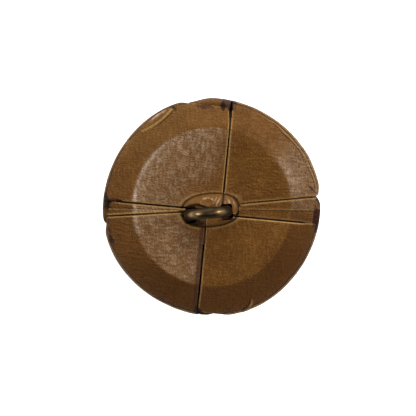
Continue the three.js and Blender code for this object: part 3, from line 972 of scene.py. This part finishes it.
def build_strip(spec):
    grid = strip_grid(spec)
    relief = strip_relief(grid)
    tones = tone_masks(grid, relief)
    rows, lanes = grid["psi"].shape
    x, y = relief["x"], relief["y"]
    near_loop = relief["outer"] & (np.hypot(x - LOOP_X, y - LOOP_Y) < NEAR_LOOP)
    nx, ny = slot_nudge(x, y, NUDGE_CELL)
    x, y = np.where(near_loop, nx, x), np.where(near_loop, ny, y)

    top = np.stack(cover_point(x, y, relief["on_back"], relief["deep"]), -1)
    under = relief["layer"] + LEATHER_T - UNDER_ROUND * rounding(relief["edge"], EDGE_ROUND)
    under = np.maximum(under, relief["deep"] + LEAST_LEATHER)
    low = np.stack(cover_point(x, y, relief["on_back"], under), -1)

    steps = np.linalg.norm(np.diff(top, axis=0), axis=2)
    run = np.vstack([np.zeros(lanes), np.cumsum(steps, axis=0)])
    u = run - grid["a"][0:1]
    hide = np.stack([u, grid["c"], np.full_like(u, HIDE_SHIFT * spec["quarter"])], -1).reshape(-1, 3)

    gone = near_loop & (slot_distance(x, y) < SLOT_MARGIN)
    cut = gone[:-1, :-1] & gone[1:, :-1] & gone[:-1, 1:] & gone[1:, 1:]
    faces = strip_faces(~cut, rows, lanes)

    both = {key: np.concatenate([value.ravel(), 0 * value.ravel()]) for key, value in tones.items()}
    both["raw"] = np.concatenate([np.zeros(rows * lanes), np.ones(rows * lanes)])
    both["hide_mm"] = np.concatenate([hide, hide])
    points = np.concatenate([top.reshape(-1, 3), low.reshape(-1, 3)])
    piece = new_piece(spec["name"] + "_leather", points, faces, both)
    work = bmesh.new()
    work.from_mesh(piece.data)
    bmesh.ops.delete(work, geom=[v for v in work.verts if not v.link_faces], context="VERTS")
    work.to_mesh(piece.data)
    work.free()
    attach(piece, "button")
    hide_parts(spec["name"])
    print(piece.name, len(piece.data.vertices), "points")
    return piece


strips = [build_strip(spec) for spec in STRIPS]

# %% [markdown]
# ## The wire loop
# This ring is bent from round wire: a straight bar that stays inside the button, two short legs and a round
# arch. A curve with a round bevel would draw it too, but a circle carried along the line lets the thickness
# waver a little, as bent and handled wire does, and keeps the rubbed spots on its points.

# %% Build the wire loop
WIRE_STEP = 0.12
WIRE_SIDES = 40
STRAIGHT_STEPS = 16
LEAST_ARC_STEPS = 8
BAR_OPENING = 0.08
LEAST_STEP = 0.02
WIRE_WAVER = 0.012
ARCH_Z = LOOP_TOP - LOOP_W / 2


def loop_line():
    """The middle line of the wire in (x, z), from one end of the bar round the arch to the other."""
    line = []
    inset = LEG_X - CORNER_R
    low = BAR_Z + CORNER_R

    def arc(cx, cz, r, start, stop):
        n = max(LEAST_ARC_STEPS, int(abs(math.radians(stop - start)) * r / WIRE_STEP))
        for t in np.linspace(math.radians(start), math.radians(stop), n + 1):
            line.append((cx + r * math.cos(t), cz + r * math.sin(t)))

    line += [(v, BAR_Z) for v in np.linspace(BAR_OPENING, inset, STRAIGHT_STEPS)]
    arc(inset, low, CORNER_R, -90, 0)
    line += [(LEG_X, v) for v in np.linspace(low, ARCH_Z, STRAIGHT_STEPS)]
    arc(0, ARCH_Z, LEG_X, 0, 180)
    line += [(-LEG_X, v) for v in np.linspace(ARCH_Z, low, STRAIGHT_STEPS)]
    arc(-inset, low, CORNER_R, 180, 270)
    line += [(v, BAR_Z) for v in np.linspace(-inset, -BAR_OPENING, STRAIGHT_STEPS)]
    kept = [line[0]]
    for p in line[1:]:
        if math.dist(p, kept[-1]) > LEAST_STEP:
            kept.append(p)
    return np.array(kept)


def rub_at(across, t):
    """How bright thread has kept the brass: only on the outer side of the arch's two shoulders."""
    left = math.exp(-(((across + 1.75) / 0.7) ** 2))
    right = 0.7 * math.exp(-(((across - 1.7) / 0.5) ** 2))
    return max(left, right) * max(0, math.cos(t)) * math.exp(-((math.sin(t) / 0.38) ** 2))


def build_loop():
    line = loop_line()
    tangent = np.gradient(line, axis=0)
    tangent /= np.linalg.norm(tangent, axis=1)[:, None]
    run = np.concatenate([[0], np.cumsum(np.linalg.norm(np.diff(line, axis=0), axis=1))])
    points, place, rubbed = [], [], []
    for (px, pz), (tx, tz), s in zip(line, tangent, run):
        for k in range(WIRE_SIDES):
            t = 2 * math.pi * k / WIRE_SIDES
            waver = noise.noise(Vector((s * 0.8, math.cos(t), math.sin(t))))
            r = WIRE_D / 2 * (1 + WIRE_WAVER * waver)
            out = r * math.cos(t)
            points.append((LOOP_X + px + tz * out, LOOP_Y + r * math.sin(t), pz - tx * out))
            place.append((s, t, 0))
            rubbed.append(rub_at(px, t) if pz > ARCH_Z else 0.0)
    masks = {"wire_mm": np.array(place), "rubbed": np.array(rubbed)}
    piece = new_piece("shank_loop_wire", points, tube_faces(len(line), WIRE_SIDES), masks)
    face_outwards(piece)
    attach(piece, "loop")
    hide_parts("shank_loop")
    return piece


wire_loop = build_loop()
print("wire loop:", len(wire_loop.data.vertices), "points")

# %% [markdown]
# ## The felt pad
# Under the leather lie a felt pad, a moulded core, a disc of leatherboard and a tab that holds the loop's
# bar. Little of them shows, but a look into a slot or a seam should find real pieces there. The pad is a
# turned shape that follows the underside of the leather. Felt keeps its form here, because it is closed in.

# %% Build the pad
PAD_R, PAD_T = 12.8, 1.2
PAD_EDGE = 0.5
PAD_RINGS, PAD_LIP_RINGS = 30, 8


def height_at(on_back, r, depth=COVER_T):
    return float(layer_height(np.array(on_back), np.array(float(r)), np.array(depth)))


def build_pad():
    low = [(r, height_at(False, r)) for r in np.linspace(0, PAD_R - PAD_EDGE, PAD_RINGS)]
    edge_z = height_at(False, PAD_R)
    lip = []
    for t in np.linspace(0.3, 2.8, PAD_LIP_RINGS):
        lip.append((PAD_R - PAD_EDGE + PAD_EDGE * math.sin(t), edge_z + PAD_T / 2 - PAD_T / 2 * math.cos(t)))
    high = [(r, height_at(False, r) + PAD_T) for r in np.linspace(PAD_R - PAD_EDGE, 0, PAD_RINGS)]
    pad = turned_piece("front_pad_felt", low + lip + high)
    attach(pad, "button")
    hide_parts("front_pad")
    return pad


pad = build_pad()
print("pad:", len(pad.data.vertices), "points")

# %% [markdown]
# ## The leather tab over the bar
# A short strip of leather is bent over the loop's bar and held down on both sides of it. It could be a plane
# with a curve modifier. One rounded cross-section carried along the bend is simpler and closes by itself.

# %% Build the tab
FIT_GAP = 0.1
TAB_W, TAB_REACH, TAB_ARCH = 3.6, 5.4, 2.3
TAB_RINGS, TAB_SIDES = 90, 28
TAB_SQUARENESS, TAB_BEND = 0.35, 1.2


def squared(value):
    """Pushes a cosine or sine outwards, so that a circle becomes a rounded box."""
    return math.copysign(abs(value) ** TAB_SQUARENESS, value)


def tab_under(y):
    """Height of the tab's underside at a distance y from the bar."""
    seat = height_at(True, math.hypot(LOOP_X, LOOP_Y + y) + TAB_W / 2) + FIT_GAP
    top = height_at(True, math.hypot(LOOP_X, LOOP_Y) + TAB_W / 2) + FIT_GAP
    lift = BAR_Z + WIRE_D / 2 + 2 * FIT_GAP - top
    return seat + lift * math.sqrt(max(0, 1 - (y / TAB_ARCH) ** 2)) ** TAB_BEND


def build_tab():
    ring = []
    for s in np.linspace(0, 2 * math.pi, TAB_SIDES, endpoint=False):
        ring.append((TAB_W / 2 * squared(math.cos(s)), LEATHER_T / 2 * squared(math.sin(s))))
    points = []
    for v in np.linspace(-TAB_REACH, TAB_REACH, TAB_RINGS):
        for dx, dz in ring:
            points.append((LOOP_X + dx, LOOP_Y + v, tab_under(v) + LEATHER_T / 2 + dz))
    tab = new_piece("loop_tab_leather", points, tube_faces(TAB_RINGS, TAB_SIDES))
    face_outwards(tab)
    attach(tab, "button")
    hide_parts("loop_tab")
    return tab


tab = build_tab()
print("tab:", len(tab.data.vertices), "points")

# %% [markdown]
# ## Shader helpers
# A finish is a small network of nodes. It could be drawn by hand in the shader editor, but a script says
# exactly what joins what. These helpers keep each network short enough to read: they add a node with its
# settings, do sums, mix two colours and read an attribute stored on the points.

# %% Shader helpers
def new_material(name):
    material = bpy.data.materials.new(name)
    material.use_nodes = True
    tree = material.node_tree
    tree.nodes.clear()
    out = tree.nodes.new("ShaderNodeOutputMaterial")
    shader = tree.nodes.new("ShaderNodeBsdfPrincipled")
    tree.links.new(shader.outputs[0], out.inputs[0])
    return material, tree, shader


def node(tree, kind, inputs=None, **settings):
    made = tree.nodes.new(kind)
    for key, value in settings.items():
        setattr(made, key, value)
    for key, value in (inputs or {}).items():
        if isinstance(value, bpy.types.NodeSocket):
            tree.links.new(value, made.inputs[key])
        else:
            made.inputs[key].default_value = value
    return made


def math_node(tree, operation, a, b, clamp=False):
    return node(tree, "ShaderNodeMath", {0: a, 1: b}, operation=operation, use_clamp=clamp).outputs[0]


def plus(tree, a, b, clamp=False):
    return math_node(tree, "ADD", a, b, clamp)


def minus(tree, a, b):
    return math_node(tree, "SUBTRACT", a, b)


def times(tree, a, b):
    return math_node(tree, "MULTIPLY", a, b)


def in_range(tree, value, low, high, start=0.0, stop=1.0):
    return node(tree, "ShaderNodeMapRange", {0: value, 1: low, 2: high, 3: start, 4: stop}).outputs[0]


def grain(tree, where, scale, detail, roughness=0.5):
    inputs = {"Vector": where, "Scale": scale, "Detail": detail, "Roughness": roughness}
    return node(tree, "ShaderNodeTexNoise", inputs).outputs[0]


def stretched(tree, where, scale, shift=(0.0, 0.0, 0.0)):
    return node(tree, "ShaderNodeMapping", {"Vector": where, "Scale": scale, "Location": shift}).outputs[0]


def blend_colours(tree, share, a, b):
    made = node(tree, "ShaderNodeMix", {}, data_type="RGBA")
    for key, value in ((0, share), (6, a), (7, b)):
        if isinstance(value, bpy.types.NodeSocket):
            tree.links.new(value, made.inputs[key])
        else:
            made.inputs[key].default_value = value if key == 0 else (*value, 1)
    return made.outputs[2]


def attribute(tree, name, output="Fac"):
    return node(tree, "ShaderNodeAttribute", attribute_name=name).outputs[output]


def bump_from(tree, shader, height, strength, distance):
    bump = node(tree, "ShaderNodeBump", {"Strength": strength, "Distance": distance, "Height": height})
    tree.links.new(bump.outputs[0], shader.inputs["Normal"])


def refinish(piece, material):
    piece.data.materials.clear()
    piece.data.materials.append(material)
    print(material.name, "has", len(material.node_tree.nodes), "nodes")


print("ready to mix finishes; colours are linear, from 0 to 1")

# %% [markdown]
# ## Tan leather
# The hide is tan with a thin finish that has darkened unevenly. The die pressed a fine linen pattern into it.
# Even sine waves would look printed, so noise is stretched along the strip for one set of threads, across it
# for the other, and less stretched for the beads where they cross. Painted sheen and painted highlights make
# the leather paler where it shines, most of all on the tops of the pattern, and the lower bevel gets painted
# shade. Worn edges are pale, dirt and painted shadow are near black, and the flesh side is a dull red-brown.

# %% Leather finish
RIB_W, BEAD_SPACING = 0.42, 0.2
RIB_HEIGHT, RIB_ACROSS_HEIGHT, BEAD_HEIGHT = 0.17, 0.1, 0.2
WOVEN_MIDDLE, WOVEN_TOP = 0.235, 0.16
FINE_HEIGHT = 0.3
TAN = (0.150, 0.060, 0.0105)
TAN_DARK = (0.100, 0.038, 0.0060)
TAN_PALE = (0.46, 0.27, 0.095)
# painted sheen and painted highlight colours, then the painted shade of the lower bevel, the flesh side, and
# near-black for dirt and painted shadow
SHEEN_PALE = (0.42, 0.29, 0.185)
HIGHLIGHT_PALE = (0.62, 0.48, 0.36)
SHADE_BROWN = (0.070, 0.023, 0.0025)
FLESH = (0.050, 0.018, 0.012)
GRIME_AND_SHADE = (0.010, 0.005, 0.003)


def linen(tree, hide):
    """Height of the pressed linen pattern, about 0 on average and weaker where the die pressed less."""
    ribs = grain(tree, stretched(tree, hide, (1 / RIB_W, 0.25 / RIB_W, 1.0)), 1.0, 1.5)
    ribs = in_range(tree, ribs, 0.38, 0.62)
    across = grain(tree, stretched(tree, hide, (0.25 / RIB_W, 1 / RIB_W, 1.0), (7.0, 3.0, 5.0)), 1.0, 1.5)
    across = in_range(tree, across, 0.38, 0.62)
    bead_space = stretched(tree, hide, (0.45 / BEAD_SPACING, 1 / BEAD_SPACING, 1.0), (2.0, 9.0, 1.0))
    beads = in_range(tree, grain(tree, bead_space, 1.0, 1.5), 0.36, 0.64)
    woven = plus(tree, times(tree, ribs, RIB_HEIGHT), times(tree, across, RIB_ACROSS_HEIGHT))
    woven = plus(tree, woven, times(tree, beads, BEAD_HEIGHT))
    return times(tree, minus(tree, woven, WOVEN_MIDDLE), attribute(tree, "pressed"))


def leather_colour(tree, hide, woven, polish_and_sheen):
    patches = in_range(tree, grain(tree, hide, 0.16, 5.0, 0.6), 0.38, 0.66)
    colour = blend_colours(tree, patches, TAN, TAN_DARK)
    colour = blend_colours(tree, times(tree, in_range(tree, woven, 0.0, WOVEN_TOP), 0.1), colour, TAN_PALE)
    colour = blend_colours(tree, times(tree, in_range(tree, woven, 0.0, -WOVEN_TOP), 0.35), colour, TAN_DARK)
    # painted shade on the lower bevel
    colour = blend_colours(tree, times(tree, attribute(tree, "lower_bevel_shade"), 0.75), colour, SHADE_BROWN)
    ridge_tops = plus(tree, times(tree, in_range(tree, woven, -0.1, WOVEN_TOP), 0.6), 0.2)
    # painted sheen, strongest on the tops of the pattern
    colour = blend_colours(tree, times(tree, polish_and_sheen, ridge_tops), colour, SHEEN_PALE)
    # painted highlights
    gleam = times(tree, attribute(tree, "painted_highlight"), plus(tree, ridge_tops, 0.15))
    colour = blend_colours(tree, gleam, colour, HIGHLIGHT_PALE)
    colour = blend_colours(tree, attribute(tree, "dyed"), colour, FLESH)
    colour = blend_colours(tree, times(tree, attribute(tree, "wear_and_light"), 0.85), colour, TAN_PALE)
    colour = blend_colours(tree, attribute(tree, "raw"), colour, FLESH)
    # dirt, darkened grooves and seams, and painted shadow
    return blend_colours(tree, attribute(tree, "dirt_and_shade"), colour, GRIME_AND_SHADE)


def leather_finish():
    material, tree, shader = new_material("tan_leather")
    hide = attribute(tree, "hide_mm", "Vector")
    woven = linen(tree, hide)
    fine = grain(tree, hide, 3.5, 5.0)
    bump_from(tree, shader, plus(tree, woven, times(tree, fine, FINE_HEIGHT)), 1.0, 0.0006)
    polish_and_sheen = attribute(tree, "polish_and_sheen")
    tree.links.new(leather_colour(tree, hide, woven, polish_and_sheen), shader.inputs["Base Color"])
    rough = plus(tree, times(tree, fine, 0.16), 0.54)
    rough = minus(tree, rough, times(tree, polish_and_sheen, 0.36))
    rough = plus(tree, rough, times(tree, attribute(tree, "raw"), 0.4), clamp=True)
    tree.links.new(rough, shader.inputs["Roughness"])
    shader.inputs["Specular IOR Level"].default_value = 0.08
    return material


leather = leather_finish()
for strip in strips:
    refinish(strip, leather)

# %% [markdown]
# ## Aged brass
# Old brass is dark brown-green where nothing rubs it and bright where thread has polished it. One flat metal
# colour would look new. Noise and the rubbed mask mix the two, and drive the roughness the same way, so
# polished spots also shine more sharply.

# %% Brass finish
BRASS_DARK = (0.014, 0.010, 0.0055)
BRASS_BRIGHT = (0.75, 0.46, 0.20)
DULL_ROUGHNESS, BRIGHT_ROUGHNESS = 0.46, 0.27


def brass_finish():
    material, tree, shader = new_material("aged_brass")
    where = attribute(tree, "wire_mm", "Vector")
    stains = in_range(tree, grain(tree, where, 0.7, 6.0, 0.65), 0.35, 0.68)
    polish_and_sheen = plus(tree, times(tree, stains, 0.04), attribute(tree, "rubbed"), clamp=True)
    tree.links.new(blend_colours(tree, polish_and_sheen, BRASS_DARK, BRASS_BRIGHT), shader.inputs["Base Color"])
    rough = in_range(tree, polish_and_sheen, 0.0, 1.0, DULL_ROUGHNESS, BRIGHT_ROUGHNESS)
    tree.links.new(rough, shader.inputs["Roughness"])
    scratches = grain(tree, stretched(tree, where, (6.0, 1.2, 1.0)), 3.0, 4.0)
    bump_from(tree, shader, scratches, 0.35, 0.00002)
    shader.inputs["Metallic"].default_value = 1.0
    return material


refinish(wire_loop, brass_finish())

# %% [markdown]
# ## Plain inner finishes
# The tab is raw leather, the disc and core are pressed fibre, and the pad is felt. Four networks could be
# drawn, but one recipe serves them all: a fibrous noise that changes colour, roughness and height together,
# with two colours, a scale and a roughness for each.

# %% Inner finishes
def fibre_finish(name, light, dark, scale, roughness, sheen=0.0):
    material, tree, shader = new_material(name)
    where = node(tree, "ShaderNodeTexCoord").outputs["Object"]
    fibres = grain(tree, where, scale, 8.0, 0.7)
    flecks = node(tree, "ShaderNodeTexVoronoi", {"Vector": where, "Scale": scale * 1.7}).outputs[0]
    share = in_range(tree, plus(tree, fibres, times(tree, flecks, 0.2)), 0.4, 0.8)
    tree.links.new(blend_colours(tree, share, dark, light), shader.inputs["Base Color"])
    rough = plus(tree, times(tree, fibres, 0.2), roughness - 0.1, clamp=True)
    tree.links.new(rough, shader.inputs["Roughness"])
    bump_from(tree, shader, fibres, 0.6, 0.00008)
    shader.inputs["Sheen Weight"].default_value = sheen
    return material


disc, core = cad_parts["backing_disc"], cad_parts["core_dome"]
refinish(tab, fibre_finish("flesh_leather", (0.34, 0.12, 0.06), (0.14, 0.045, 0.025), 1500, 0.75))
refinish(pad, fibre_finish("grey_felt", (0.24, 0.21, 0.17), (0.10, 0.09, 0.07), 900, 0.95, sheen=0.3))
refinish(disc, fibre_finish("leatherboard", (0.12, 0.045, 0.025), (0.045, 0.016, 0.01), 1100, 0.85))
refinish(core, fibre_finish("pressed_fibre", (0.20, 0.12, 0.06), (0.09, 0.05, 0.025), 800, 0.9))

# %% [markdown]
# ## The table
# The button lies face down on a white table. An empty white world would do for the background, but a table
# takes the soft shadow under the rim. It glows, so that it stays white beside the dark leather.

# %% Table
TABLE_GLOW = 0.9
TABLE_HALF = 1.2


def build_table():
    mesh = bpy.data.meshes.new("table")
    corners = [(-1, -1), (1, -1), (1, 1), (-1, 1)]
    mesh.from_pydata([(x * TABLE_HALF, y * TABLE_HALF, 0) for x, y in corners], [], [(0, 1, 2, 3)])
    table = bpy.data.objects.new("table", mesh)
    bpy.context.scene.collection.objects.link(table)
    material, tree, shader = new_material("white_table")
    shader.inputs["Base Color"].default_value = (0.9, 0.9, 0.9, 1)
    shader.inputs["Roughness"].default_value = 0.9
    shader.inputs["Specular IOR Level"].default_value = 0.1
    shader.inputs["Emission Color"].default_value = (1, 1, 1, 1)
    shader.inputs["Emission Strength"].default_value = TABLE_GLOW
    mesh.materials.append(material)
    table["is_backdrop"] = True
    return table


table = build_table()
print(f"table {2 * TABLE_HALF} m wide, at z = {table.location.z:.1f}")

# %% [markdown]
# ## Lights
# Four soft square lights work together. The one low on the right skims the dished middle and catches the
# bevel, a weaker one stands opposite, a third lights the dish from nearer overhead, and a large one bounces
# light from beyond the top of the view. A sky could light the scene, but lamps can be placed one by one.

# %% Lights
VIEW_TURN = math.radians(-UPRIGHT_TURN)
LAMP_DISTANCE = 0.6
WORLD_LIGHT = 0.04


def softbox(name, azimuth, tilt, size, power):
    """A square light at `tilt` degrees from overhead, on the side `azimuth` of the upright view."""
    turn = math.radians(azimuth) + VIEW_TURN
    lean = math.radians(tilt)
    side, up = math.sin(lean), math.cos(lean)
    place = Vector((side * math.cos(turn), side * math.sin(turn), up)) * LAMP_DISTANCE
    data = bpy.data.lights.new(name, "AREA")
    data.shape = "SQUARE"
    data.size = size
    data.energy = power
    light = bpy.data.objects.new(name, data)
    light.location = place
    light.rotation_euler = (-place).to_track_quat("-Z", "Y").to_euler()
    bpy.context.scene.collection.objects.link(light)
    print(name, "at", [round(v, 2) for v in place], "m")


softbox("key_right", 14, 47, 0.12, 1.0)
softbox("fill_left", 184, 46, 0.07, 0.5)
softbox("dish_light", -30, 20, 0.10, 1.6)
softbox("top_bounce", 95, 60, 0.60, 4.2)

world = bpy.data.worlds.new("studio")
bpy.context.scene.world = world
world.use_nodes = True
world.node_tree.nodes["Background"].inputs[0].default_value = (1, 1, 1, 1)
world.node_tree.nodes["Background"].inputs[1].default_value = WORLD_LIGHT
bpy.context.scene.view_settings.view_transform = "Standard"

# %% [markdown]
# ## Camera
# The camera looks straight down from about half a metre with a long lens, so the rim hides little of the
# sides. An orthographic camera would flatten the loop, which stands nearer to the lens than the leather. The
# camera is turned with the lights, so that the loop lies nearly level in the view.

# %% Camera
CAMERA_HEIGHT = 0.55
VIEW_WIDTH = 0.0724
SENSOR_MM = 36
LOOK_X, LOOK_Y = -0.00066, -0.0002
CLIP_START = 0.01


def build_camera():
    data = bpy.data.cameras.new("camera")
    camera = bpy.data.objects.new("camera", data)
    x = LOOK_X * math.cos(VIEW_TURN) - LOOK_Y * math.sin(VIEW_TURN)
    y = LOOK_X * math.sin(VIEW_TURN) + LOOK_Y * math.cos(VIEW_TURN)
    camera.location = (x, y, CREST_Z * MM + CAMERA_HEIGHT)
    camera.rotation_euler = (0, 0, VIEW_TURN)
    data.sensor_width = SENSOR_MM
    data.lens = SENSOR_MM * CAMERA_HEIGHT / VIEW_WIDTH
    data.clip_start = CLIP_START
    bpy.context.scene.collection.objects.link(camera)
    bpy.context.scene.camera = camera
    return camera


camera = build_camera()
print("camera lens", round(camera.data.lens, 1))

# %% [markdown]
# ## Measure the size
# The eye can't judge tenths of a millimetre, so the boxes of the frame's own model and of the finished pieces
# are measured and printed.

# %% Measure the size
for before, after in zip(cad_box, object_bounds()):
    print("corner in mm:", [round(v / MM, 2) for v in before], "now", [round(v / MM, 2) for v in after])
